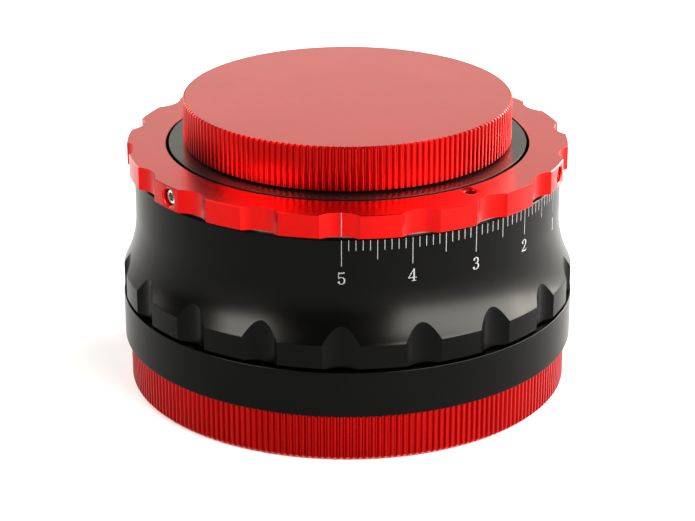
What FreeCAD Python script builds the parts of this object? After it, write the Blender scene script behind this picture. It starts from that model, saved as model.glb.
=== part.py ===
"""Manual helical focuser for a telescope, with its two screw-on dust caps.

Frame: millimetres, +Z up along the optical axis, towards the camera side. The origin is the centre of
the bottom cap's flat face. Azimuth 0 is the index line, at -Y, and azimuths grow anticlockwise seen
from above. The part is modelled at rest with both caps on and the scale reading 5.

How it works: three brass followers are screwed to the drawtube. Each passes through a straight slot in
the fixed guide barrel, which stops the drawtube turning, into a helical groove in the focus ring's
bore. Turning the ring moves the drawtube 1 mm for each number of the scale. A stop pin in an arc
slot under the ring ends the travel at 0 and at 5. Threads are plain cylinders at their major diameter.
"""

import FreeCAD
import Part
import math
import os

# --- Driving dimensions, in mm and degrees -------------------------------------------------------
TRAVEL = 5.0                      # travel of the drawtube, the whole scale
DEG_PER_MM = 18.0                 # turn of the focus ring for 1 mm of travel
SCALLOPS = 18                     # on the focus ring and on the index ring alike
CUTTER_R = 5.0                    # radius of the cutter that mills the scallops
RUN = 0.1                         # radial clearance of the plain bearings
THREAD_GAP = 0.05                 # radial clearance between a male thread and its female

# Bottom cap, base ring and telescope side
BOTTOM_CAP_R = 40.0
BOTTOM_CAP_TOP = 8.6
BOTTOM_CAP_FLOOR = 2.0
BOTTOM_KNURLS = 228
SPIGOT_R = 37.5                   # M75 x 1 male thread
SPIGOT_Z = 2.8                    # the spigot's end face
SOCKET_R = 34.0                   # M68 x 1 female thread inside the spigot
SOCKET_TOP = 6.8
BASE_R = 41.0
BASE_Z0, BASE_Z1 = 8.9, 17.15
SHELF_R = 32.2                    # clear bore of the base under the barrel
SHELF_TOP = 8.9

# Guide barrel
BARREL_IN, BARREL_OUT = 31.6, 34.4
BARREL_Z0, BARREL_Z1 = 9.0, 43.45
FLANGE_R, FLANGE_T = 38.6, 3.0
MOUTH_R, MOUTH_Z = 32.9, 36.8     # wider bore at the top, which the camera ring's flange sinks into
BARREL_SCREWS, BARREL_SCREW_PCR = 6, 36.5
SEAL_Z0, SEAL_Z1, SEAL_GROOVE_R = 20.6, 22.2, 32.9    # groove of the seal that wipes the drawtube

# Focus ring
RING_Z0, RING_Z1 = 17.55, 40.2
RIM_R, RIM_TOP = 40.85, 21.95     # the rim's cylinder, up to the sharp crease with the hollow flare
NECK_R, NECK_START = 38.4, 32.0
FLARE_R = 21.84                   # radius of the hollow curve between the neck and the rim
RING_BORE = BARREL_OUT + RUN
RING_VALLEY_R = 39.55             # bottom of a scallop

# Followers and their tracks
FOLLOWER_AZ = (30.0, 150.0, 270.0)
FOLLOWER_Z = 33.0                 # height of the followers at rest
FOLLOWER_R = 2.0
TRACK_HALF = 2.08                 # half the width of slots and grooves
GROOVE_FLOOR = 36.95
GROOVE_LEAD = 5.0                 # the groove starts this many degrees before the followers at rest
ENTRY_AZ = 97.0                   # entry channel for assembly, in degrees past the follower at rest

# Stop pin
STOP_AZ, STOP_PCR, STOP_R = 150.0, 37.4, 0.8
STOP_SLOT_HALF, STOP_SLOT_TOP = 1.0, 20.6

# Index ring
INDEX_R = 39.62
INDEX_Z0, INDEX_Z1 = 40.7, 44.9
INDEX_VALLEY_R = 38.15
INDEX_LIP_R, INDEX_LIP_Z = 32.65, 43.5
INDEX_SCALLOP_AZ = -0.35          # its scallops stand this far from the index line
SET_SCREW_AZ = (-48.9, 71.1, 191.1)
SET_SCREW_R = 1.5                 # M3
SPANNER_AZ = (38.1, 218.1)
SPANNER_PCR, SPANNER_R = 34.9, 1.0
SPANNER_DEPTH = 1.2

# Drawtube, camera ring and top cap
TUBE_IN, TUBE_OUT = 28.6, 31.5
TUBE_Z0, TUBE_Z1 = 19.0, 41.9
JOINT_R, JOINT_Z0 = 30.0, 38.0    # thread that joins the camera ring to the drawtube
CAMERA_FLANGE_R = 32.1
CAMERA_Z0, CAMERA_Z1 = 42.0, 45.0
NECK_THREAD_R, NECK_THREAD_TOP = 27.0, 49.6     # M54 x 0.75 male thread
FILTER_R, FILTER_Z0 = 24.0, 44.6                # M48 x 0.75 female thread
TOP_CAP_R = 29.45
TOP_CAP_Z0, TOP_CAP_Z1 = 45.35, 53.3
TOP_CAP_ROOF = 50.9
TOP_KNURLS = 167

# Knurls and engraving
KNURL_DEPTH = 0.34
MARK_DEPTH = 0.12
MARK_W = 0.2
TICK_LENGTHS = {0: 4.7, 5: 3.5}   # every tenth and every fifth mark; the others are short
SHORT_TICK = 1.85
DIGIT_H, DIGIT_Z = 2.25, 32.2     # height of the numerals, and of their feet above the floor
DIGIT_STROKE = 0.12               # of the numeral's height

V = FreeCAD.Vector
Z = V(0, 0, 1)
O = V(0, 0, 0)


# --- Helpers -------------------------------------------------------------------------------------
def cyl(r, z0, z1, x=0.0, y=0.0):
    return Part.makeCylinder(r, z1 - z0, V(x, y, z0))


def ring(r_in, r_out, z0, z1):
    return cyl(r_out, z0, z1).cut(cyl(r_in, z0 - 1, z1 + 1))


def lathe(points):
    """Solid of revolution of a closed outline of (r, z) points. A point (r, z, r_mid, z_mid) ends an arc."""
    edges = []
    for a, b in zip(points, points[1:] + points[:1]):
        p, q = V(a[0], 0, a[1]), V(b[0], 0, b[1])
        if len(b) == 4:
            edges.append(Part.Arc(p, V(b[2], 0, b[3]), q).toShape())
        else:
            edges.append(Part.makeLine(p, q))
    return Part.Face(Part.Wire(edges)).revolve(O, Z, 360)


def turned(shape, azimuth):
    """The shape, built at azimuth 0 on -Y, carried round to another azimuth."""
    copy = shape.copy()
    copy.rotate(O, Z, azimuth)
    return copy


def radial_rod(r, r0, r1, z):
    """A rod along the radius at azimuth 0, from radius r0 out to r1."""
    return Part.makeCylinder(r, r1 - r0, V(0, -r0, z), V(0, -1, 0))


def solid_of(shape):
    """The one solid of a boolean result."""
    if len(shape.Solids) != 1:
        raise ValueError("expected one solid, got %d" % len(shape.Solids))
    return shape.Solids[0]


def scallop_cutters(valley_r, z0, z1, first_az=0.0):
    cutter = cyl(CUTTER_R, z0, z1, 0, -(valley_r + CUTTER_R))
    return [turned(cutter, first_az + 360.0 * k / SCALLOPS) for k in range(SCALLOPS)]


def knurled(r, count, z0, z1):
    """Prism with straight knurls: ridges with flat tops and narrow root flats."""
    root = r - KNURL_DEPTH
    step = 2 * math.pi / count
    corners = []
    for k in range(count):
        for share, radius in ((-0.2, r), (0.2, r), (0.42, root), (0.58, root)):
            a = (k + share) * step
            corners.append(V(radius * math.sin(a), -radius * math.cos(a), z0))
    face = Part.Face(Part.makePolygon(corners + corners[:1]))
    return face.extrude(V(0, 0, z1 - z0))


def hex_socket(across_flats, depth):
    """Prism for a hex socket that opens at the origin and runs along +Y."""
    r = across_flats / math.sqrt(3)
    corners = [V(r * math.cos(math.radians(60 * k)), 0, r * math.sin(math.radians(60 * k))) for k in range(6)]
    return Part.Face(Part.makePolygon(corners + corners[:1])).extrude(V(0, depth, 0))


# --- Bottom cap and base -------------------------------------------------------------------------
def bottom_dust_cap():
    chamfer, top_chamfer, mouth = 0.8, 0.25, 0.4
    envelope = lathe([
        (0, 0), (BOTTOM_CAP_R - chamfer, 0), (BOTTOM_CAP_R, chamfer),
        (BOTTOM_CAP_R, BOTTOM_CAP_TOP - top_chamfer), (BOTTOM_CAP_R - top_chamfer, BOTTOM_CAP_TOP),
        (0, BOTTOM_CAP_TOP)])
    body = knurled(BOTTOM_CAP_R, BOTTOM_KNURLS, 0, BOTTOM_CAP_TOP).common(envelope)
    inner = SPIGOT_R + THREAD_GAP
    cavity = lathe([
        (0, BOTTOM_CAP_FLOOR), (inner, BOTTOM_CAP_FLOOR), (inner, BOTTOM_CAP_TOP - mouth),
        (inner + mouth, BOTTOM_CAP_TOP), (inner + mouth, BOTTOM_CAP_TOP + 1), (0, BOTTOM_CAP_TOP + 1)])
    return solid_of(body.cut(cavity))


def bottom_cap_seal():
    return ring(SOCKET_R + 0.4, SPIGOT_R - 0.2, BOTTOM_CAP_FLOOR, SPIGOT_Z - 0.02)


def base_ring():
    edge, relief_r, relief_z, lead = 0.15, 36.8, 8.5, 0.4
    body = lathe([
        (SOCKET_R, SPIGOT_Z), (SPIGOT_R - lead, SPIGOT_Z), (SPIGOT_R, SPIGOT_Z + lead),
        (SPIGOT_R, relief_z), (relief_r, relief_z), (relief_r, BASE_Z0),
        (BASE_R - edge, BASE_Z0), (BASE_R, BASE_Z0 + edge), (BASE_R, BASE_Z1 - edge),
        (BASE_R - edge, BASE_Z1), (FLANGE_R + THREAD_GAP, BASE_Z1),
        (FLANGE_R + THREAD_GAP, BASE_Z1 - FLANGE_T), (BARREL_OUT + THREAD_GAP, BASE_Z1 - FLANGE_T),
        (BARREL_OUT + THREAD_GAP, SHELF_TOP), (SHELF_R, SHELF_TOP), (SHELF_R, SOCKET_TOP),
        (SOCKET_R, SOCKET_TOP)])
    tapped = cyl(1.02, 11.2, BASE_Z1, 0, -BARREL_SCREW_PCR)
    return solid_of(body.cut([turned(tapped, 60 * k) for k in range(BARREL_SCREWS)]))


# --- Guide barrel and what is fixed to it --------------------------------------------------------
def guide_barrel():
    floor = BASE_Z1 - FLANGE_T
    seat = 0.4                    # chamfer at the barrel's top, under the index ring's lip
    body = lathe([
        (BARREL_IN, BARREL_Z0), (BARREL_OUT, BARREL_Z0), (BARREL_OUT, floor), (FLANGE_R, floor),
        (FLANGE_R, BASE_Z1), (BARREL_OUT, BASE_Z1), (BARREL_OUT, BARREL_Z1 - seat),
        (BARREL_OUT - seat, BARREL_Z1), (MOUTH_R, BARREL_Z1), (MOUTH_R, MOUTH_Z), (BARREL_IN, MOUTH_Z)])
    z0, z1 = FOLLOWER_Z - TRAVEL, FOLLOWER_Z
    half = TRACK_HALF
    slot = Part.makeBox(2 * half, 6, z1 - z0, V(-half, -BARREL_OUT - 2, z0))
    slot = slot.fuse([radial_rod(half, BARREL_OUT - 4, BARREL_OUT + 2, z) for z in (z0, z1)])
    cuts = [turned(slot, az) for az in FOLLOWER_AZ]
    cuts.append(ring(BARREL_IN - 1, SEAL_GROOVE_R, SEAL_Z0, SEAL_Z1))
    countersunk = cyl(1.02, floor - 1, BASE_Z1, 0, -BARREL_SCREW_PCR).fuse(
        Part.makeCone(1.0, 1.97, 1.1, V(0, -BARREL_SCREW_PCR, BASE_Z1 - 1.1)))
    cuts += [turned(countersunk, 60 * k) for k in range(BARREL_SCREWS)]
    cuts.append(turned(cyl(STOP_R + 0.01, 15.0, BASE_Z1 + 1, 0, -STOP_PCR), STOP_AZ))
    return solid_of(body.cut(cuts))


def drawtube_seal():
    return ring(TUBE_OUT + 0.03, SEAL_GROOVE_R - 0.02, SEAL_Z0 + 0.02, SEAL_Z1 - 0.02)


def barrel_screws():
    """Six M2 countersunk screws with hex sockets, through the barrel's flange into the base."""
    head, tip, top = 1.05, 11.6, BASE_Z1 - 0.05
    screw = cyl(1.0, tip, top - head).fuse(Part.makeCone(1.0, 1.9, head, V(0, 0, top - head)))
    socket = hex_socket(1.3, 0.7)
    socket.rotate(O, V(1, 0, 0), -90)
    socket.translate(V(0, 0, top))
    screw = solid_of(screw.cut(socket).removeSplitter())
    screw.translate(V(0, -BARREL_SCREW_PCR, 0))
    return Part.makeCompound([turned(screw, 60 * k) for k in range(BARREL_SCREWS)])


def travel_stop_pin():
    return turned(cyl(STOP_R, 15.05, STOP_SLOT_TOP - 0.3, 0, -STOP_PCR), STOP_AZ)


def slip_washers():
    lower = ring(BARREL_OUT + 0.4, STOP_PCR - STOP_SLOT_HALF - 0.2, BASE_Z1 + 0.01, RING_Z0 - 0.02)
    upper = ring(BARREL_OUT + 0.2, NECK_R - 0.9, RING_Z1 + 0.02, INDEX_Z0 - 0.01)
    return lower, upper


def index_ring():
    edge = 0.12
    thread_r = BARREL_OUT + THREAD_GAP
    body = lathe([
        (thread_r, INDEX_Z0), (INDEX_R - edge, INDEX_Z0), (INDEX_R, INDEX_Z0 + edge),
        (INDEX_R, INDEX_Z1 - edge), (INDEX_R - edge, INDEX_Z1), (INDEX_LIP_R + edge, INDEX_Z1),
        (INDEX_LIP_R, INDEX_Z1 - edge), (INDEX_LIP_R, INDEX_LIP_Z), (thread_r, INDEX_LIP_Z)])
    cuts = scallop_cutters(INDEX_VALLEY_R, INDEX_Z0 - 1, INDEX_Z1 + 1, INDEX_SCALLOP_AZ)
    mid = (INDEX_Z0 + INDEX_Z1) / 2
    cuts += [turned(radial_rod(SET_SCREW_R, BARREL_OUT, INDEX_R + 1, mid), az) for az in SET_SCREW_AZ]
    spanner = cyl(SPANNER_R, INDEX_Z1 - SPANNER_DEPTH, INDEX_Z1 + 1, 0, -SPANNER_PCR)
    cuts += [turned(spanner, az) for az in SPANNER_AZ]
    return solid_of(body.cut(cuts))


def index_line_box():
    return Part.makeBox(MARK_W, 1.0, INDEX_Z1 - INDEX_Z0 + 1,
                        V(-MARK_W / 2, -INDEX_VALLEY_R - 1 + MARK_DEPTH, INDEX_Z0 - 0.5))


def index_set_screws():
    """Three M3 grub screws with hex sockets, just below the surface of the ring's ridges."""
    mid = (INDEX_Z0 + INDEX_Z1) / 2
    r, r0, r1, chamfer = SET_SCREW_R - 0.02, 35.3, 38.95, 0.3
    screw = radial_rod(r, r0, r1 - chamfer, mid)
    screw = screw.fuse(Part.makeCone(r, r - chamfer, chamfer, V(0, -(r1 - chamfer), mid), V(0, -1, 0)))
    socket = hex_socket(1.5, 1.6)
    socket.translate(V(0, -r1, mid))
    screw = solid_of(screw.cut(socket))
    return Part.makeCompound([turned(screw, az) for az in SET_SCREW_AZ])


def set_screw_pads():
    """Nylon pads between the grub screws and the barrel's thread."""
    mid = (INDEX_Z0 + INDEX_Z1) / 2
    pad = radial_rod(SET_SCREW_R - 0.1, BARREL_OUT + 0.02, 35.28, mid)
    pad = pad.cut(cyl(BARREL_OUT + 0.01, mid - 3, mid + 3))
    return Part.makeCompound([turned(pad, az) for az in SET_SCREW_AZ])


# --- Focus ring ----------------------------------------------------------------------------------
def groove():
    """One helical groove with its entry channel, for the follower that rests at azimuth 0."""
    pitch = 360.0 / DEG_PER_MM
    sweep = ENTRY_AZ + GROOVE_LEAD
    r0, r1, half = RING_BORE - 0.6, GROOVE_FLOOR, TRACK_HALF
    z_top = FOLLOWER_Z + GROOVE_LEAD / DEG_PER_MM
    z_end = FOLLOWER_Z - ENTRY_AZ / DEG_PER_MM
    # a left-handed helix runs down as the azimuth grows, so it is made upside down and turned over
    helix = Part.makeHelix(pitch, sweep / DEG_PER_MM, r0)
    profile = Part.makePolygon([V(r0, 0, -half), V(r1, 0, -half), V(r1, 0, half), V(r0, 0, half), V(r0, 0, -half)])
    pipe = Part.BRepOffsetAPI.MakePipeShell(Part.Wire(helix.Edges))
    pipe.setFrenetMode(True)
    pipe.add(profile)
    pipe.build()
    pipe.makeSolid()
    track = pipe.shape()
    track.rotate(O, V(1, 0, 0), 180)          # now it runs down with the azimuth falling
    track = track.mirror(O, V(0, 1, 0))       # and now down with the azimuth growing
    track.rotate(O, Z, -90 - GROOVE_LEAD)
    track.translate(V(0, 0, z_top))
    channel = radial_rod(half, r0, r1, z_end).fuse(
        Part.makeBox(2 * half, r1 - r0, z_end - RING_Z0 + 1, V(-half, -r1, RING_Z0 - 1)))
    return track, turned(channel, ENTRY_AZ)


def stop_slot():
    """Arc slot under the ring that the stop pin runs in."""
    play = 0.1
    r0, r1 = STOP_PCR - STOP_SLOT_HALF, STOP_PCR + STOP_SLOT_HALF
    ends = math.degrees((STOP_R + play - STOP_SLOT_HALF) / STOP_PCR)
    sweep = TRAVEL * DEG_PER_MM + 2 * ends
    face = Part.makePolygon([V(r0, 0, RING_Z0 - 1), V(r1, 0, RING_Z0 - 1), V(r1, 0, STOP_SLOT_TOP),
                             V(r0, 0, STOP_SLOT_TOP), V(r0, 0, RING_Z0 - 1)])
    arc = Part.Face(face).revolve(O, Z, sweep)
    arc.rotate(O, Z, STOP_AZ - 90 - ends)
    round_end = cyl(STOP_SLOT_HALF, RING_Z0 - 1, STOP_SLOT_TOP, 0, -STOP_PCR)
    return [arc, turned(round_end, STOP_AZ - ends), turned(round_end, STOP_AZ - ends + sweep)]


def focus_ring_body():
    """The ring before it is engraved: neck, hollow flare, scalloped rim, grooves and stop slot."""
    edge = 0.25
    centre = NECK_R + FLARE_R

    def flare(z):
        return centre - math.sqrt(FLARE_R ** 2 - (NECK_START - z) ** 2)

    mid = (RIM_TOP + NECK_START) / 2
    body = lathe([
        (RING_BORE, RING_Z0), (RIM_R - edge, RING_Z0), (RIM_R, RING_Z0 + edge), (RIM_R, RIM_TOP),
        (NECK_R, NECK_START, flare(mid), mid),
        (NECK_R, RING_Z1), (RING_BORE, RING_Z1)])
    cuts = scallop_cutters(RING_VALLEY_R, RING_Z0 - 1, NECK_START)
    for az in FOLLOWER_AZ:
        cuts += [turned(piece, az) for piece in groove()]
    for cut in cuts + stop_slot():
        body = body.cut(cut)
    return solid_of(body)


# --- Engraved scale ------------------------------------------------------------------------------
def tick_boxes():
    """Radial boxes where the marks are engraved. Mark 0 is the number 5, at azimuth 0."""
    boxes = []
    for k in range(int(TRAVEL * 10) + 1):
        length = TICK_LENGTHS.get(k % 10, SHORT_TICK)
        box = Part.makeBox(MARK_W, 2.0, length + 1, V(-MARK_W / 2, -NECK_R - 2 + MARK_DEPTH, RING_Z1 - length))
        boxes.append(turned(box, k * DEG_PER_MM / 10))
    return boxes


def bar(x0, y0, x1, y1, w):
    """Straight stroke of a numeral, from one centre point to the other."""
    dx, dy = x1 - x0, y1 - y0
    n = math.hypot(dx, dy)
    px, py = -dy / n * w / 2, dx / n * w / 2
    return Part.Face(Part.makePolygon([
        V(x0 + px, y0 + py, 0), V(x1 + px, y1 + py, 0), V(x1 - px, y1 - py, 0), V(x0 - px, y0 - py, 0),
        V(x0 + px, y0 + py, 0)]))


def bowl(cx, cy, rx, ry, a0, a1, w):
    """Curved stroke of a numeral: part of an elliptical band, between two angles in degrees."""
    def edge(grow):
        big, small = max(rx, ry) + grow, min(rx, ry) + grow
        up = ry > rx
        axis = V(0, 1, 0) if up else V(1, 0, 0)
        side = V(-1, 0, 0) if up else V(0, 1, 0)
        ellipse = Part.Ellipse(V(cx, cy, 0) + axis * big, V(cx, cy, 0) + side * small, V(cx, cy, 0))
        if a1 - a0 >= 360:
            return ellipse.toShape()
        shift = -90 if up else 0
        return Part.ArcOfEllipse(ellipse, math.radians(a0 + shift), math.radians(a1 + shift)).toShape()

    outer, inner = edge(w / 2), edge(-w / 2)
    if a1 - a0 >= 360:
        return Part.Face(Part.Wire(outer)).cut(Part.Face(Part.Wire(inner)))
    ends = [Part.makeLine(outer.Vertexes[k].Point, inner.Vertexes[k].Point) for k in (0, 1)]
    return Part.Face(Part.Wire(Part.__sortEdges__([outer, ends[1], inner, ends[0]])))


def numeral(n):
    """The overlapping strokes of a numeral: flat faces, one unit high, centred on x = 0."""
    w, thin = DIGIT_STROKE, DIGIT_STROKE * 0.6
    return {
        0: [bowl(0, 0.5, 0.245, 0.435, 0, 360, w)],
        1: [bar(0.02, 0.04, 0.02, 1.0, w), bar(-0.17, thin / 2, 0.21, thin / 2, thin),
            bar(-0.16, 0.84, 0.03, 0.95, thin)],
        2: [bowl(0, 0.72, 0.22, 0.215, -30, 170, w), bar(0.2, 0.64, -0.24, 0.09, thin * 1.2),
            bar(-0.28, 0.075, 0.28, 0.075, 0.15), bar(0.25, 0.04, 0.29, 0.27, thin)],
        3: [bowl(0, 0.73, 0.19, 0.205, -85, 160, w), bowl(0, 0.285, 0.23, 0.22, -165, 85, w),
            bar(-0.08, 0.515, 0.04, 0.515, thin)],
        4: [bar(0.1, 0.0, 0.1, 1.0, w), bar(0.09, 0.95, -0.29, 0.3, thin * 1.15),
            bar(-0.31, 0.275, 0.3, 0.275, 0.1), bar(-0.07, thin / 2, 0.27, thin / 2, thin)],
        5: [bowl(-0.02, 0.3, 0.25, 0.235, -160, 135, w), bar(-0.2, 0.42, -0.2, 0.97, thin),
            bar(-0.235, 0.925, 0.22, 0.925, 0.15)],
    }[n]


def digit_prisms():
    """The numerals as radial prisms, deep enough to reach the engraving's floor on the neck."""
    prisms = []
    for n in range(int(TRAVEL) + 1):
        strokes = []
        for face in numeral(n):
            face.scale(DIGIT_H, O)
            face.rotate(O, V(1, 0, 0), 90)
            face.translate(V(0, -NECK_R + MARK_DEPTH + 0.05, DIGIT_Z))
            strokes.append(face.extrude(V(0, -2, 0)))
        prism = strokes[0].multiFuse(strokes[1:]).removeSplitter()
        prisms.append(turned(solid_of(prism), (TRAVEL - n) * DEG_PER_MM))
    return prisms


def engrave(body, cutters):
    """(the engraved body, the paint that fills the cuts flush with its surface)"""
    paint = []
    for cutter in cutters:
        paint += body.common(cutter).Solids
    return solid_of(body.cut(cutters)), Part.makeCompound(paint)


# --- Drawtube, camera ring and top cap -----------------------------------------------------------
def drawtube():
    body = lathe([
        (TUBE_IN, TUBE_Z0), (TUBE_OUT, TUBE_Z0), (TUBE_OUT, TUBE_Z1), (JOINT_R + THREAD_GAP, TUBE_Z1),
        (JOINT_R + THREAD_GAP, JOINT_Z0 - 0.1), (TUBE_IN, JOINT_Z0 - 0.1)])
    flat_r = TUBE_OUT - 0.5       # a spot face seats each follower
    seat = radial_rod(FOLLOWER_R + 0.02, flat_r, TUBE_OUT + 1, FOLLOWER_Z)
    tapped = radial_rod(0.82, TUBE_IN + 0.6, TUBE_OUT, FOLLOWER_Z)
    return solid_of(body.cut([turned(s, az) for az in FOLLOWER_AZ for s in (seat, tapped)]))


def cam_followers():
    """Three brass pins, each through a barrel slot into a groove of the focus ring."""
    r0, r1 = TUBE_OUT - 0.5, GROOVE_FLOOR - 0.2
    pin = radial_rod(FOLLOWER_R, r0, r1, FOLLOWER_Z)
    bore = radial_rod(0.85, r0 - 1, r1 + 1, FOLLOWER_Z).fuse(radial_rod(1.5, r1 - 1.2, r1 + 1, FOLLOWER_Z))
    pin = solid_of(pin.cut(bore))
    return Part.makeCompound([turned(pin, az) for az in FOLLOWER_AZ])


def follower_screws():
    """M1.6 cheese-head screws that hold the followers."""
    top = GROOVE_FLOOR - 0.25
    head = top - 1.1
    screw = radial_rod(0.8, TUBE_IN + 0.8, head, FOLLOWER_Z).fuse(radial_rod(1.45, head, top, FOLLOWER_Z))
    slot = Part.makeBox(4, 0.5, 0.35, V(-2, -top, FOLLOWER_Z - 0.175))
    screw = solid_of(screw.cut(slot))
    return Part.makeCompound([turned(screw, az) for az in FOLLOWER_AZ])


def camera_ring():
    lead, relief = 0.35, 0.6
    return lathe([
        (FILTER_R + 2.5, JOINT_Z0), (JOINT_R, JOINT_Z0), (JOINT_R, CAMERA_Z0), (CAMERA_FLANGE_R, CAMERA_Z0),
        (CAMERA_FLANGE_R, CAMERA_Z1 - 0.1), (CAMERA_FLANGE_R - 0.1, CAMERA_Z1),
        (NECK_THREAD_R - relief, CAMERA_Z1), (NECK_THREAD_R - relief, CAMERA_Z1 + relief),
        (NECK_THREAD_R, CAMERA_Z1 + relief), (NECK_THREAD_R, NECK_THREAD_TOP - lead),
        (NECK_THREAD_R - lead, NECK_THREAD_TOP), (FILTER_R, NECK_THREAD_TOP), (FILTER_R, FILTER_Z0),
        (FILTER_R + 2.5, FILTER_Z0 - 1.5)])


def top_dust_cap():
    chamfer, low, mouth = 0.25, 0.2, 0.35
    envelope = lathe([
        (0, TOP_CAP_Z0), (TOP_CAP_R - low, TOP_CAP_Z0), (TOP_CAP_R, TOP_CAP_Z0 + low),
        (TOP_CAP_R, TOP_CAP_Z1 - chamfer), (TOP_CAP_R - chamfer, TOP_CAP_Z1), (0, TOP_CAP_Z1)])
    body = knurled(TOP_CAP_R, TOP_KNURLS, TOP_CAP_Z0, TOP_CAP_Z1).common(envelope)
    inner = NECK_THREAD_R + THREAD_GAP
    cavity = lathe([
        (0, TOP_CAP_Z0 - 1), (inner + mouth, TOP_CAP_Z0 - 1), (inner + mouth, TOP_CAP_Z0),
        (inner, TOP_CAP_Z0 + mouth), (inner, TOP_CAP_ROOF), (0, TOP_CAP_ROOF)])
    return solid_of(body.cut(cavity))


def top_cap_seal():
    return ring(FILTER_R + 0.3, NECK_THREAD_R - 0.1, NECK_THREAD_TOP + 0.02, TOP_CAP_ROOF)


# --- Assembly ------------------------------------------------------------------------------------
def main():
    lower_washer, upper_washer = slip_washers()
    focus_ring, scale_marks = engrave(focus_ring_body(), tick_boxes())
    focus_ring, scale_numerals = engrave(focus_ring, digit_prisms())
    index, index_line = engrave(index_ring(), [index_line_box()])
    nodes = {
        "bottom_dust_cap": bottom_dust_cap(),
        "bottom_cap_seal": bottom_cap_seal(),
        "base_ring": base_ring(),
        "guide_barrel": guide_barrel(),
        "barrel_screws": barrel_screws(),
        "travel_stop_pin": travel_stop_pin(),
        "drawtube_seal": drawtube_seal(),
        "lower_slip_washer": lower_washer,
        "upper_slip_washer": upper_washer,
        "index_ring": index,
        "index_line": index_line,
        "index_set_screws": index_set_screws(),
        "set_screw_pads": set_screw_pads(),
        "focus_ring": focus_ring,
        "scale_marks": scale_marks,
        "scale_numerals": scale_numerals,
        "drawtube": drawtube(),
        "cam_followers": cam_followers(),
        "follower_screws": follower_screws(),
        "camera_ring": camera_ring(),
        "top_dust_cap": top_dust_cap(),
        "top_cap_seal": top_cap_seal(),
    }
    os.makedirs("parts", exist_ok=True)
    for name, shape in nodes.items():
        print("%-18s solids %2d  volume %9.2f mm3  valid %s" % (
            name, len(shape.Solids), shape.Volume, shape.isValid()))
        shape.exportStep(os.path.join("parts", name + ".step"))


main()
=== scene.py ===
"""Blender scene of a manual helical focuser with two screw-on dust caps, on a pale floor.

Helpers take millimetres in the CAD's frame and turn them into metres once, in solid(). Azimuth 0 is
the index line at -Y, and azimuths grow anticlockwise seen from above.
"""

import bpy
import bmesh
import math
import numpy as np
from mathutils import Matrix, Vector


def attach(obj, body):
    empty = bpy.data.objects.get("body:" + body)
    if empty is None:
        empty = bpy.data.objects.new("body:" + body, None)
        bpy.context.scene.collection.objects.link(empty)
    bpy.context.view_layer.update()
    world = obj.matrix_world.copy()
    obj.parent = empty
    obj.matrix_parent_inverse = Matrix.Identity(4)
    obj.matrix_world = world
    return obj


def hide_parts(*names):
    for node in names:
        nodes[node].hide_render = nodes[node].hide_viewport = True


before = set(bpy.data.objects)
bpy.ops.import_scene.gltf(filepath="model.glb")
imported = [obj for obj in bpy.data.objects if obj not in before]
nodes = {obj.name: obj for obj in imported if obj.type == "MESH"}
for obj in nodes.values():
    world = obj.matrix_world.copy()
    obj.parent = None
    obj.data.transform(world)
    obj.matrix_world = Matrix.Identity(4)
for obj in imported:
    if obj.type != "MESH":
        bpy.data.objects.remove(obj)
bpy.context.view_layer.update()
scene = bpy.context.scene

MM = 0.001
TAU = 2 * math.pi

# --- Dimensions shared with the CAD, in mm and degrees -------------------------------------------
SCALLOPS = 18
CUTTER_R = 5.0
DEG_PER_MM = 18.0
NECK_R, NECK_START, FLARE_R = 38.4, 32.0, 21.84
RIM_R, RIM_TOP = 40.85, 21.95
RING_Z0, RING_Z1, RING_BORE, RING_VALLEY = 17.55, 40.2, 34.5, 39.55
INDEX_R, INDEX_VALLEY, INDEX_Z0, INDEX_Z1 = 39.62, 38.15, 40.7, 44.9
INDEX_SCALLOP_AZ = -0.35
SET_SCREW_AZ = (-48.9, 71.1, 191.1)
SPANNER_AZ = (38.1, 218.1)
SPANNER_PCR, SPANNER_FLOOR = 34.9, 43.7
FOLLOWER_AZ, FOLLOWER_Z = (30.0, 150.0, 270.0), 33.0
TRACK_IN, TRACK_FLOOR, TRACK_HALF = 33.8, 36.95, 2.08   # the cuts for the grooves start inside the bore
GROOVE_LEAD, GROOVE_TURN = 5.0, 102.0                   # degrees before the follower, and in all
ENTRY_AZ, ENTRY_HALF = 97.0, 3.45                       # entry channel past the follower, in degrees
STOP_SLOT = (36.4, 38.4, 17.0, 20.6, 148.6, 241.4)      # radii, heights and azimuths


# --- Mesh helpers --------------------------------------------------------------------------------
def solid(name, verts, faces, sharp=30.0):
    """Closed mesh object from points in mm, smooth shaded apart from edges sharper than the angle."""
    mesh = bpy.data.meshes.new(name)
    mesh.from_pydata((np.asarray(verts, float) * MM).tolist(), [], faces)
    bm = bmesh.new()
    bm.from_mesh(mesh)
    bmesh.ops.remove_doubles(bm, verts=bm.verts, dist=1e-8)
    bmesh.ops.dissolve_degenerate(bm, edges=bm.edges, dist=1e-9)
    bmesh.ops.recalc_face_normals(bm, faces=bm.faces)
    bm.to_mesh(mesh)
    bm.free()
    mesh.shade_smooth()
    mesh.set_sharp_from_angle(angle=math.radians(sharp))
    obj = bpy.data.objects.new(name, mesh)
    scene.collection.objects.link(obj)
    return obj


def place(r, theta, z):
    """Points in mm from radius, azimuth in radians and height."""
    return np.stack([r * np.sin(theta), -r * np.cos(theta), z + 0 * theta], -1)


def skin(name, rows, sharp=30.0):
    """Closed ring-shaped mesh. Each row is (radius, azimuths, height); columns and rows both close."""
    grid = np.array([place(r + 0 * theta, theta, z) for r, theta, z in rows])
    count, cols = grid.shape[:2]
    here = np.arange(count * cols).reshape(count, cols)
    below = np.roll(here, -1, axis=0)
    quads = np.stack([here, np.roll(here, -1, 1), np.roll(below, -1, 1), below], -1).reshape(-1, 4)
    return solid(name, grid.reshape(-1, 3), quads.tolist(), sharp)


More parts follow.
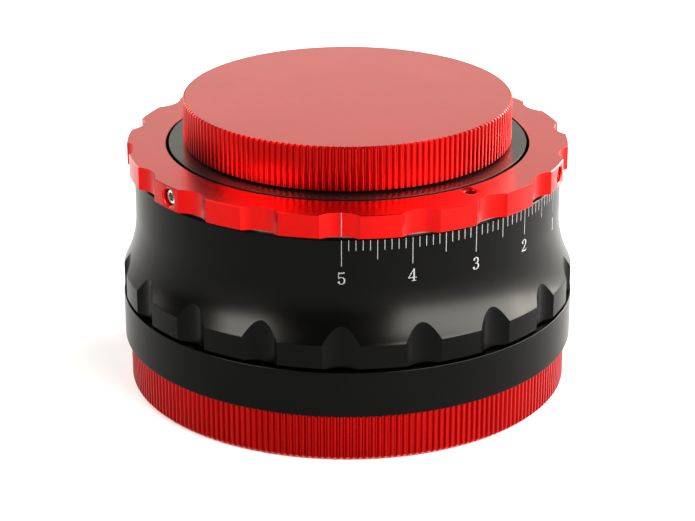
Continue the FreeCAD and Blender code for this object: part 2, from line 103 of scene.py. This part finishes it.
def rounded(corners, steps=4, support=0.06):
    """Outline points of (r, z) corners. A corner (r, z, radius) is an arc with a support point each side."""
    out = []
    for i, corner in enumerate(corners):
        p = np.array(corner[:2], float)
        if len(corner) == 2:
            out.append(tuple(p))
            continue
        u = np.array(corners[i - 1][:2]) - p
        v = np.array(corners[(i + 1) % len(corners)][:2]) - p
        u, v = u / np.linalg.norm(u), v / np.linalg.norm(v)
        half = math.acos(np.clip(u @ v, -1, 1)) / 2
        reach = corner[2] / math.tan(half)
        centre = p + (u + v) / np.linalg.norm(u + v) * corner[2] / math.sin(half)
        a, b = p + u * reach - centre, p + v * reach - centre
        out.append(tuple(p + u * (reach + support)))
        turn = math.pi - 2 * half
        for k in range(steps + 1):
            s = k / steps
            mix = (math.sin((1 - s) * turn) * a + math.sin(s * turn) * b) / math.sin(turn)
            out.append(tuple(centre + mix))
        out.append(tuple(p + v * (reach + support)))
    return out


def thread(theta, r, depth, pitch, z0, z1, per_pitch=10):
    """Rows of a right-hand screw thread on radius r. A negative depth cuts outwards, as in a nut."""
    count = int(round((z1 - z0) / pitch * per_pitch))
    rows = []
    for k in range(count + 1):
        z = z0 + (z1 - z0) * k / count
        phase = (z / pitch - theta / TAU) % 1.0
        groove = np.clip(1.25 - np.abs(phase - 0.5) * 3.2, 0, 1)
        fade = min(1.0, k / per_pitch * 2, (count - k) / per_pitch * 2)
        rows.append((r - depth * groove * fade, theta, z))
    return rows


def applied(obj, *cutters):
    """obj with the cutters' volume cut away for good."""
    for cutter in cutters:
        mod = obj.modifiers.new("cut", "BOOLEAN")
        mod.operation, mod.solver, mod.object = "DIFFERENCE", "EXACT", cutter
    bpy.context.view_layer.update()
    done = bpy.data.meshes.new_from_object(obj.evaluated_get(bpy.context.evaluated_depsgraph_get()))
    obj.modifiers.clear()
    old = obj.data
    obj.data = done
    done.name = obj.name
    bpy.data.meshes.remove(old)
    for cutter in cutters:
        bpy.data.objects.remove(cutter)
    return obj


def rod(name, outline, origin, direction, segments=48):
    """Closed solid of revolution about an axis through origin: outline is [(radius, distance along it)]."""
    d = Vector(direction).normalized()
    side = d.orthogonal().normalized()
    other = d.cross(side)
    verts, faces = [], []
    for r, t in outline:
        for k in range(segments):
            a = TAU * k / segments
            verts.append(tuple(Vector(origin) + d * t + (side * math.cos(a) + other * math.sin(a)) * r))
    for i in range(len(outline) - 1):
        for k in range(segments):
            n = (k + 1) % segments
            near, far = i * segments, (i + 1) * segments
            faces.append((near + k, near + n, far + n, far + k))
    faces.append(tuple(range(segments)))
    faces.append(tuple(range((len(outline) - 1) * segments, len(outline) * segments)))
    return solid(name, verts, faces)


def radial(azimuth):
    a = math.radians(azimuth)
    return Vector((math.sin(a), -math.cos(a), 0))


def finish_piece(obj, body, slot, material, *replaced):
    """Give a piece its material, put it under its body's empty and hide the CAD parts that it replaces. With
    no material the piece keeps those that it has.
    """
    if material:
        obj.data.materials.clear()
        obj.data.materials.append(material)
    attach(obj, body)
    if replaced:
        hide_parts(*replaced)
    return obj


# --- Materials -----------------------------------------------------------------------------------
def material(name):
    mat = bpy.data.materials.new(name)
    mat.use_nodes = True
    tree = mat.node_tree
    return mat, tree, tree.nodes["Principled BSDF"]


def noise(tree, scale, detail=3.0, rough=0.55):
    coords = tree.nodes.new("ShaderNodeTexCoord")
    node = tree.nodes.new("ShaderNodeTexNoise")
    node.inputs["Scale"].default_value = scale
    node.inputs["Detail"].default_value = detail
    node.inputs["Roughness"].default_value = rough
    tree.links.new(coords.outputs["Object"], node.inputs["Vector"])
    return node.outputs["Fac"]


def ramp(tree, source, low, high, socket, start=0.3, end=0.7):
    """A socket driven from low to high, numbers or colours, as the source goes from start to end."""
    if isinstance(low, tuple):
        node = tree.nodes.new("ShaderNodeValToRGB")
        node.color_ramp.elements[0].position, node.color_ramp.elements[1].position = start, end
        node.color_ramp.elements[0].color = (*low, 1)
        node.color_ramp.elements[1].color = (*high, 1)
        tree.links.new(source, node.inputs["Fac"])
        tree.links.new(node.outputs["Color"], socket)
        return
    node = tree.nodes.new("ShaderNodeMapRange")
    for key, value in (("From Min", start), ("From Max", end), ("To Min", low), ("To Max", high)):
        node.inputs[key].default_value = value
    tree.links.new(source, node.inputs["Value"])
    tree.links.new(node.outputs["Result"], socket)


def bump(tree, shader, source, strength, distance):
    node = tree.nodes.new("ShaderNodeBump")
    node.inputs["Strength"].default_value = strength
    node.inputs["Distance"].default_value = distance
    tree.links.new(source, node.inputs["Height"])
    tree.links.new(node.outputs["Normal"], shader.inputs["Normal"])


def surface(name, low, high, metallic, rough, specular=0.5, grain=(5200, 0.12, 0.00001), patch=60):
    """Material with a slow change of colour, an uneven roughness and a fine grain.

    Colours and roughness run from the first value to the second. The grain is its noise scale, bump
    strength and bump height, and patch is the noise scale of the colour.
    """
    mat, tree, shader = material(name)
    ramp(tree, noise(tree, patch, 4), low, high, shader.inputs["Base Color"])
    ramp(tree, noise(tree, 400, 2), rough[0], rough[1], shader.inputs["Roughness"], 0.0, 1.0)
    shader.inputs["Metallic"].default_value = metallic
    shader.inputs["Specular IOR Level"].default_value = specular
    bump(tree, shader, noise(tree, grain[0], 2), grain[1], grain[2])
    return mat


red = surface("red_anodised", (0.31, 0.004, 0.0035), (0.34, 0.0055, 0.005), 1.0, (0.27, 0.31),
              grain=(5200, 0.04, 0.00001))
# A darker copy of the red for the knurled faces: painted shade that stands in for the teeth shading one
# another.
knurl_shaded_red = surface("red_anodised_knurl_shade", (0.225, 0.0025, 0.0022), (0.26, 0.0035, 0.003), 1.0,
                      (0.27, 0.31), grain=(5200, 0.06, 0.00001))
# The two blacks and the paint are darker than the real ones, to suit the very strong panels below.
black = surface("black_anodised", (0.0001, 0.0001, 0.00009), (0.0003, 0.0003, 0.00028), 0.0,
                (0.22, 0.27), specular=0.044, grain=(5200, 0.4, 0.000015))
black_turned = surface("black_anodised_turned", (0.0008, 0.0008, 0.0008), (0.0014, 0.0014, 0.0013), 0.0,
                       (0.28, 0.36), specular=0.17)
white = surface("white_paint", (0.058, 0.06, 0.065), (0.073, 0.075, 0.08), 0.0, (0.5, 0.7),
                grain=(9000, 0.3, 0.00001), patch=900)
steel = surface("stainless_steel", (0.55, 0.54, 0.52), (0.68, 0.67, 0.65), 1.0, (0.18, 0.30))
brass = surface("brass", (0.66, 0.46, 0.17), (0.76, 0.56, 0.24), 1.0, (0.22, 0.34))
rubber = surface("black_rubber", (0.012, 0.012, 0.012), (0.03, 0.03, 0.03), 0.0, (0.6, 0.8),
                 grain=(3500, 0.4, 0.00002))
acetal = surface("black_acetal", (0.012, 0.012, 0.013), (0.022, 0.022, 0.023), 0.0, (0.35, 0.5))
nylon = surface("nylon", (0.62, 0.60, 0.54), (0.74, 0.72, 0.66), 0.0, (0.4, 0.55))


# --- Knurled caps --------------------------------------------------------------------------------
TOOTH_AT = np.array([0.0, 0.11, 0.17, 0.22, 0.32, 0.38, 0.5, 0.62, 0.68, 0.78, 0.83, 0.89])
TOOTH_DEPTH = np.array([0.0, 0.0, 0.03, 0.13, 0.36, 0.42, 0.43, 0.42, 0.36, 0.13, 0.03, 0.0])


def knurled_cap(name, r, teeth, side, inside):
    """Cap from side rows (envelope radius, height) that the knurl cuts, and its plain rows and threads.

    The faces of the knurl get a darker copy of the red, as painted shade for the teeth shading one another.
    """
    theta = (np.arange(teeth)[:, None] + TOOTH_AT[None, :]).ravel() * TAU / teeth
    crest = r - np.tile(TOOTH_DEPTH, teeth)
    rows = [(np.minimum(crest, env), theta, z) for env, z in side]
    for entry in inside:
        if len(entry) == 2:
            rows.append((entry[0], theta, entry[1]))
        else:
            rows += thread(theta, *entry)
    cap = skin(name, rows, 34)
    cap.data.materials.append(red)
    cap.data.materials.append(knurl_shaded_red)
    # The knurl's side faces take the darker red, which is painted shade.
    for face in cap.data.polygons:
        if abs(face.normal.z) < 0.3 and face.center.xy.length > (r - 0.6) * MM:
            face.material_index = 1
    return cap


def chamfer_rows(r0, z0, r1, z1, steps):
    return [(r0 + (r1 - r0) * k / steps, z0 + (z1 - z0) * k / steps) for k in range(steps + 1)]


top_side = chamfer_rows(29.2, 53.3, 29.45, 53.05, 5) + [(29.45, z) for z in (52.0, 50.0, 48.0, 46.2, 45.62)]
top_side += chamfer_rows(29.45, 45.55, 29.2, 45.35, 3)
top_inside = [(27.45, 45.35), (27.4, 45.4), (27.08, 45.7), (27.05, 45.75), (27.05, 45.9),
              (27.05, -0.28, 0.75, 46.0, 50.2),
              (27.05, 50.3), (27.3, 50.4), (27.3, 50.88), (27.28, 50.9), (20.0, 50.9), (8.0, 50.9),
              (0.0, 50.9),
              (0.0, 53.3), (8.0, 53.3), (20.0, 53.3), (28.9, 53.3), (29.15, 53.3)]
top_cap = knurled_cap("top_dust_cap_turned", 29.45, 167, top_side, top_inside)
finish_piece(top_cap, "top_dust_cap", "red_anodised", None, "top_dust_cap")

bottom_side = chamfer_rows(39.75, 8.6, 40.0, 8.35, 3) + [(40.0, z) for z in (8.2, 6.8, 5.0, 3.2, 1.4, 0.95)]
bottom_side += chamfer_rows(40.0, 0.8, 39.2, 0.0, 8)
bottom_inside = [(39.1, 0.0), (38.9, 0.0), (30.0, 0.0), (12.0, 0.0), (0.0, 0.0), (0.0, 2.0), (12.0, 2.0),
                 (37.75, 2.0), (37.78, 2.02), (37.78, 2.6), (37.55, 2.7), (37.55, 2.8),
                 (37.55, -0.35, 1.0, 2.9, 7.9),
                 (37.55, 8.0), (37.57, 8.15), (37.93, 8.55), (38.0, 8.6), (39.6, 8.6)]
bottom_cap = knurled_cap("bottom_dust_cap_turned", 40.0, 228, bottom_side, bottom_inside)
finish_piece(bottom_cap, "bottom_dust_cap", "red_anodised", None, "bottom_dust_cap")


# --- Scalloped rings -----------------------------------------------------------------------------
SCALLOP_U = np.sin(np.linspace(-1, 1, 15)[:-1] * 1.25) / math.sin(1.25)
LAND_V = np.linspace(0, 1, 15)[:-1]


def scalloped_row(envelope, valley, z, first_az=0.0):
    """One row of a ring whose edge is milled by a round cutter: columns keep to the scallops' edges."""
    d = valley + CUTTER_R
    period = TAU / SCALLOPS
    cosine = (d * d + envelope * envelope - CUTTER_R ** 2) / (2 * d * envelope)
    alpha = math.acos(cosine) if envelope > valley + 1e-6 else 0.0
    alpha = max(alpha, math.radians(0.3))
    local = np.concatenate([SCALLOP_U * alpha, alpha + LAND_V * (period - 2 * alpha)])
    theta = (np.arange(SCALLOPS)[:, None] * period + local[None, :]).ravel()
    off = (theta + period / 2) % period - period / 2
    under = CUTTER_R ** 2 - (d * np.sin(off)) ** 2
    near = np.where(under > 0, d * np.cos(off) - np.sqrt(np.maximum(under, 0)), 1e9)
    return np.minimum(envelope, near), theta + math.radians(first_az), z


def plain_row(r, z, like):
    """A round row with the same columns as a scalloped one."""
    return r, like[1], z


def flare(z):
    return NECK_R + FLARE_R - math.sqrt(FLARE_R ** 2 - (NECK_START - z) ** 2)


def focus_ring_rows():
    apex = NECK_START - math.sqrt(FLARE_R ** 2 - (NECK_R + FLARE_R - RING_VALLEY) ** 2)
    rim = [(RIM_R - 0.25, RING_Z0), (RIM_R, RING_Z0 + 0.25), (RIM_R, 19.2), (RIM_R, 20.4)]
    rim += [(RIM_R, RIM_TOP - 0.04), (RIM_R - 0.01, RIM_TOP)]
    heights = [apex - (apex - RIM_TOP) * (1 - k / 14) ** 2 for k in range(1, 15)]
    heights += [apex + 0.02 + 0.1 * k * k for k in range(8)]
    heights += list(np.linspace(apex + 5.4, NECK_START, 5)) + [34, 37, 39.4, 40.0]
    rows = [scalloped_row(r, RING_VALLEY, z) for r, z in rim]
    rows += [scalloped_row(flare(min(z, NECK_START)), RING_VALLEY, z) for z in heights]
    rows.append(scalloped_row(NECK_R - 0.15, RING_VALLEY, RING_Z1))
    rows.append(plain_row(RING_BORE + 0.15, RING_Z1, rows[-1]))
    rows.append(plain_row(RING_BORE, RING_Z1 - 0.15, rows[-1]))
    for z in (34.0, 26.0, RING_Z0 + 0.15):
        rows.append(plain_row(RING_BORE, z, rows[0]))
    rows.append(plain_row(RING_BORE + 0.15, RING_Z0, rows[0]))
    return rows


def ribbon(name, sections):
    """Closed block through a row of four-cornered sections, each a list of (r, azimuth, height)."""
    verts, faces = [], []
    for section in sections:
        for r, azimuth, z in section:
            a = math.radians(azimuth)
            verts.append((r * math.sin(a), -r * math.cos(a), z))
    steps = len(sections) - 1
    for k in range(steps):
        for c in range(4):
            n = (c + 1) % 4
            faces.append((4 * k + c, 4 * k + n, 4 * k + 4 + n, 4 * k + 4 + c))
    faces += [(0, 1, 2, 3), (4 * steps, 4 * steps + 3, 4 * steps + 2, 4 * steps + 1)]
    return solid(name, verts, faces)


def groove_cutter(azimuth, steps=60):
    """The helical groove for one follower, up to its entry channel."""
    sections = []
    for k in range(steps + 1):
        turn = -GROOVE_LEAD + GROOVE_TURN * k / steps
        a, z = azimuth + turn, FOLLOWER_Z - turn / DEG_PER_MM
        low, high = z - TRACK_HALF, z + TRACK_HALF
        sections.append([(TRACK_IN, a, low), (TRACK_FLOOR, a, low),
                         (TRACK_FLOOR, a, high), (TRACK_IN, a, high)])
    return ribbon("groove", sections)


def sector(name, r0, r1, z0, z1, a0, a1, steps):
    """Closed block between two radii, two heights and two azimuths."""
    azimuths = [a0 + (a1 - a0) * k / steps for k in range(steps + 1)]
    return ribbon(name, [[(r0, a, z0), (r1, a, z0), (r1, a, z1), (r0, a, z1)] for a in azimuths])


focus_ring = skin("focus_ring_turned", focus_ring_rows(), 13)
cutters = [groove_cutter(az) for az in FOLLOWER_AZ]
for az in FOLLOWER_AZ:
    start, end = az + ENTRY_AZ - ENTRY_HALF, az + ENTRY_AZ + ENTRY_HALF
    cutters.append(sector("entry", TRACK_IN, TRACK_FLOOR, 17.0, 28.0, start, end, 6))
cutters.append(sector("stop", *STOP_SLOT, 40))
applied(focus_ring, *cutters)
finish_piece(focus_ring, "focus_ring", "black_anodised", black, "focus_ring")


def index_ring_rows():
    edge = 0.12
    side = [(INDEX_R - edge, INDEX_Z0), (INDEX_R, INDEX_Z0 + edge), (INDEX_R, 42.2), (INDEX_R, 43.6)]
    side += [(INDEX_R, INDEX_Z1 - edge), (INDEX_R - edge, INDEX_Z1)]
    rows = [scalloped_row(r, INDEX_VALLEY, z, INDEX_SCALLOP_AZ) for r, z in side]
    lip = [(36.5, INDEX_Z1), (32.75, INDEX_Z1), (32.65, 44.8), (32.65, 43.5)]
    bore = [(34.45, 43.5), (34.45, 42.5), (34.45, 40.85), (34.6, INDEX_Z0)]
    for r, z in lip + bore:
        rows.append(plain_row(r, z, rows[0]))
    return rows


index_ring = skin("index_ring_turned", index_ring_rows(), 25)
mid = (INDEX_Z0 + INDEX_Z1) / 2
cutters = []
for az in SET_SCREW_AZ:
    shape = [(1.5, 34.3), (1.5, INDEX_R - 0.22), (1.72, INDEX_R), (2.4, INDEX_R + 0.68)]
    cutters.append(rod("screw_hole", shape, (0, 0, mid), radial(az)))
for az in SPANNER_AZ:
    foot = radial(az) * SPANNER_PCR + Vector((0, 0, SPANNER_FLOOR))
    cutters.append(rod("spanner_hole", [(1.0, 0), (1.0, 1.0), (1.2, 1.2), (1.5, 1.5)], foot, (0, 0, 1), 40))
applied(index_ring, *cutters)
finish_piece(index_ring, "base", "red_anodised", red, "index_ring")


# --- Base ring and camera ring, with real threads ------------------------------------------------
def turned_piece(name, cols, parts, sharp=30.0):
    """Lathe piece from outline points (r, z) and thread entries (r, depth, pitch, z0, z1)."""
    theta = np.arange(cols) * TAU / cols
    rows = []
    for entry in parts:
        if len(entry) == 2:
            rows.append((entry[0], theta, entry[1]))
        else:
            rows += thread(theta, *entry)
    return skin(name, rows, sharp)


base_outline = rounded([(36.8, 8.9), (41.0, 8.9, 0.15), (41.0, 17.15, 0.12), (38.65, 17.15)])
base_ring = turned_piece("base_ring_turned", 300, [
    (34.0, 2.95), (34.15, 2.8), (37.1, 2.8), (37.45, 3.2), (37.5, 0.55, 1.0, 3.25, 8.3),
    (36.85, 8.4), (36.8, 8.5), (36.8, 8.7),
    *base_outline,
    (38.65, 14.15), (34.45, 14.15), (34.45, 8.9), (32.2, 8.9), (32.2, 6.8), (34.3, 6.8), (34.0, 6.6),
    (34.0, 4.0)])
finish_piece(base_ring, "base", "black_anodised", black, "base_ring")

flange = rounded([(30.0, 42.0), (32.1, 42.0, 0.1), (32.1, 45.0, 0.03), (26.4, 45.0)])
camera_ring = turned_piece("camera_ring_turned", 256, [
    (26.5, 38.0), (30.0, 38.0), *flange, (26.4, 45.5), (26.45, 45.6), (27.0, 0.42, 0.75, 45.65, 49.2),
    (26.95, 49.3), (26.65, 49.6), (24.2, 49.6), (24.0, 49.4), (24.0, -0.35, 0.75, 49.3, 45.0), (24.0, 44.6),
    (26.5, 43.1)])
finish_piece(camera_ring, "drawtube", "black_anodised", black_turned, "camera_ring")


# --- Engraved scale ------------------------------------------------------------------------------
class Marks:
    """Thin closed plates of paint on a cylinder, collected into one mesh."""

    def __init__(self, r, lift=0.018, sink=0.05):
        self.r, self.lift, self.sink = r, lift, sink
        self.verts, self.faces = [], []

    def strip(self, left, right, azimuth, z0):
        """Plate between two lines of (x, z) points, in mm, about an azimuth in degrees."""
        first = len(self.verts)
        for level in (self.r + self.lift, self.r - self.sink):
            for line in (left, right):
                for x, z in line:
                    a = math.radians(azimuth) + x / self.r
                    self.verts.append((level * math.sin(a), -level * math.cos(a), z0 + z))
        n = len(left)
        top_l, top_r, low_l, low_r = (first + n * k for k in range(4))
        for k in range(n - 1):
            self.faces.append((top_l + k, top_r + k, top_r + k + 1, top_l + k + 1))
            self.faces.append((low_l + k, low_l + k + 1, low_r + k + 1, low_r + k))
            self.faces.append((top_l + k, top_l + k + 1, low_l + k + 1, low_l + k))
            self.faces.append((top_r + k, low_r + k, low_r + k + 1, top_r + k + 1))
        for k in (0, n - 1):
            self.faces.append((top_l + k, top_r + k, low_r + k, low_l + k))

    def line(self, x, length, width, azimuth, z0):
        """Upright mark with softly rounded ends."""
        h = width / 2
        ends = [(0.55 * h, 0.0), (0.9 * h, 0.04), (h, 0.1)]
        shape = ends + [(h, length - 0.1), (0.9 * h, length - 0.04), (0.55 * h, length)]
        self.strip([(x - w, z) for w, z in shape], [(x + w, z) for w, z in shape], azimuth, z0)

    def build(self, name):
        return solid(name, self.verts, self.faces)


THICK, THIN = 0.105, 0.045           # pen widths, in parts of a numeral's height
DIGIT_SIZE = np.array([2.4, 2.25])   # width and height that a stroke of 1 scales to, in mm
MARK_W = 0.11
TICK_LENGTHS = {0: 4.7, 5: 3.5}      # every tenth and every fifth mark; the others are short
SHORT_TICK = 1.85


def stroke(points, thick=THICK, thin=THIN):
    """Edges of a pen stroke along points: thick where it runs upright, thin where it runs level."""
    pts = np.array(points, float)
    way = np.gradient(pts, axis=0)
    way /= np.linalg.norm(way, axis=1)[:, None]
    width = thin + (thick - thin) * np.abs(way[:, 1]) ** 1.3
    side = np.stack([-way[:, 1], way[:, 0]], -1) * width[:, None] / 2
    return pts + side, pts - side


def bow(cx, cz, rx, rz, a0, a1, n=18):
    """Points of an elliptical arc, from one angle to the other in degrees."""
    turns = [math.radians(a0 + (a1 - a0) * k / n) for k in range(n + 1)]
    return [(cx + rx * math.cos(a), cz + rz * math.sin(a)) for a in turns]


def dot(cx, cz, r, n=10):
    """A ball terminal, as a strip."""
    xs = [math.cos(math.pi * k / n) * r for k in range(n + 1)]
    hs = [math.sin(math.pi * k / n) * r for k in range(n + 1)]
    upper = np.array([(cx + x, cz + h) for x, h in zip(xs, hs)])
    lower = np.array([(cx + x, cz - h) for x, h in zip(xs, hs)])
    return upper, lower


def flat(points, w):
    return stroke(points, w, w)


NUMERALS = {
    0: [stroke(bow(0, 0.5, 0.235, 0.475, 90, 450, 36))],
    1: [flat([(0.03, 0.03), (0.03, 0.99)], THICK), flat([(-0.15, 0.025), (0.21, 0.025)], 0.05),
        flat([(0.0, 0.97), (-0.08, 0.9), (-0.17, 0.87)], 0.05)],
    2: [stroke(bow(0.0, 0.73, 0.215, 0.245, 165, -35)),
        stroke([(0.178, 0.595), (0.05, 0.40), (-0.12, 0.22), (-0.25, 0.07)], 0.08, 0.06),
        flat([(-0.27, 0.085), (-0.12, 0.095), (0.05, 0.06), (0.2, 0.055), (0.24, 0.075)], 0.09),
        flat([(0.25, 0.05), (0.275, 0.13), (0.285, 0.24)], 0.045), dot(-0.165, 0.745, 0.075)],
    3: [stroke(bow(0.0, 0.745, 0.18, 0.23, 150, -88)), stroke(bow(0.0, 0.275, 0.225, 0.25, 88, -150)),
        flat([(-0.07, 0.52), (0.03, 0.52)], 0.05), dot(-0.155, 0.82, 0.07), dot(-0.18, 0.175, 0.078)],
    4: [flat([(0.1, 0.03), (0.1, 0.99)], THICK), flat([(0.09, 0.98), (-0.1, 0.64), (-0.29, 0.29)], 0.055),
        flat([(-0.31, 0.275), (0.3, 0.275)], 0.06), flat([(-0.06, 0.025), (0.27, 0.025)], 0.05)],
    5: [stroke(bow(-0.015, 0.3, 0.235, 0.275, 140, -150)), flat([(-0.195, 0.97), (-0.205, 0.47)], 0.05),
        flat([(-0.21, 0.915), (-0.05, 0.9), (0.1, 0.905), (0.215, 0.955)], 0.09), dot(-0.185, 0.175, 0.078)],
}

scale_marks = Marks(NECK_R)
for k in range(51):
    length = TICK_LENGTHS.get(k % 10, SHORT_TICK)
    scale_marks.line(0, length, MARK_W, k * DEG_PER_MM / 10, RING_Z1 - 0.1 - length)
finish_piece(scale_marks.build("scale_marks_filled"), "focus_ring", "white_paint", white, "scale_marks")

numerals = Marks(NECK_R)
for n, strokes in NUMERALS.items():
    for left, right in strokes:
        numerals.strip(left * DIGIT_SIZE, right * DIGIT_SIZE, (5 - n) * DEG_PER_MM, 32.2)
finish_piece(numerals.build("scale_numerals_filled"), "focus_ring", "white_paint", white, "scale_numerals")

index_mark = Marks(INDEX_VALLEY)
index_mark.line(0, 4.16, MARK_W, 0, INDEX_Z0 + 0.02)
finish_piece(index_mark.build("index_line_filled"), "base", "white_paint", white, "index_line")


# --- CAD pieces that stay, with their finishes ---------------------------------------------------
FINISHES = {
    "guide_barrel": black, "drawtube": black,
    "barrel_screws": steel, "travel_stop_pin": steel, "index_set_screws": steel, "follower_screws": steel,
    "cam_followers": brass, "bottom_cap_seal": rubber, "top_cap_seal": rubber, "drawtube_seal": rubber,
    "lower_slip_washer": acetal, "upper_slip_washer": acetal, "set_screw_pads": nylon,
}
for name, finish in FINISHES.items():
    data = nodes[name].data
    data.materials.clear()
    data.materials.append(finish)


# --- Floor, lights and camera --------------------------------------------------------------------
def floor():
    mesh = bpy.data.meshes.new("floor")
    s = 4.0
    mesh.from_pydata([(-s, -s, 0), (s, -s, 0), (s, s, 0), (-s, s, 0)], [], [(0, 1, 2, 3)])
    obj = bpy.data.objects.new("floor", mesh)
    scene.collection.objects.link(obj)
    mat, tree, shader = material("pale_floor")
    shader.inputs["Base Color"].default_value = (0.42, 0.435, 0.47, 1)
    shader.inputs["Roughness"].default_value = 0.9
    shader.inputs["Specular IOR Level"].default_value = 0.1
    mesh.materials.append(mat)


def polar(azimuth, elevation, distance):
    """A place round the object: azimuth from -Y, anticlockwise from above."""
    e = math.radians(elevation)
    return radial(azimuth) * math.cos(e) * distance + Vector((0, 0, math.sin(e) * distance))


floor()
world = bpy.data.worlds.new("studio")
world.use_nodes = True
world.node_tree.nodes["Background"].inputs["Color"].default_value = (1, 1, 1, 1)
world.node_tree.nodes["Background"].inputs["Strength"].default_value = 0.15
scene.world = world


PANEL_TARGET = Vector((0, 0, 0.025))


def panel(name, azimuth, elevation, distance, width, height, radiance):
    """A flat soft light that faces the object, with its size in metres and its brightness as radiance."""
    data = bpy.data.lights.new(name, "AREA")
    data.shape = "RECTANGLE"
    data.size, data.size_y, data.energy = width, height, radiance * math.pi * width * height
    data.color = (1.0, 0.96, 0.86)
    obj = bpy.data.objects.new(name, data)
    obj.location = polar(azimuth, elevation, distance)
    obj.rotation_euler = (PANEL_TARGET - obj.location).to_track_quat("-Z", "Y").to_euler()
    scene.collection.objects.link(obj)


panel("left_top_panel", -100, 60, 1.3, 1.2, 0.8, 5.5)
panel("right_top_panel", 100, 60, 1.3, 1.2, 0.8, 2)
panel("back_panel", 180, 24, 1.6, 2.4, 1.3, 1.5)
panel("right_panel", 62, 14.5, 1.0, 1.4, 0.46, 54)
panel("left_panel", -51, 20, 1.0, 0.45, 0.36, 54)
panel("right_back_panel", 118, 14, 1.0, 0.9, 0.4, 46)
panel("left_back_panel", -125, 13, 1.0, 0.9, 0.35, 6)

camera_data = bpy.data.cameras.new("camera")
camera_data.sensor_width = 36
camera_data.sensor_fit = "HORIZONTAL"
camera_data.lens = 120.74
camera_data.clip_start = 0.01
camera = bpy.data.objects.new("camera", camera_data)
aim = Vector((0, 0, 0.02113))
camera.location = radial(1.5) * 0.39785 + Vector((0, 0, 0.18066))
camera.rotation_euler = (aim - camera.location).to_track_quat("-Z", "Y").to_euler()
scene.collection.objects.link(camera)
scene.camera = camera
scene.view_settings.view_transform = "Standard"
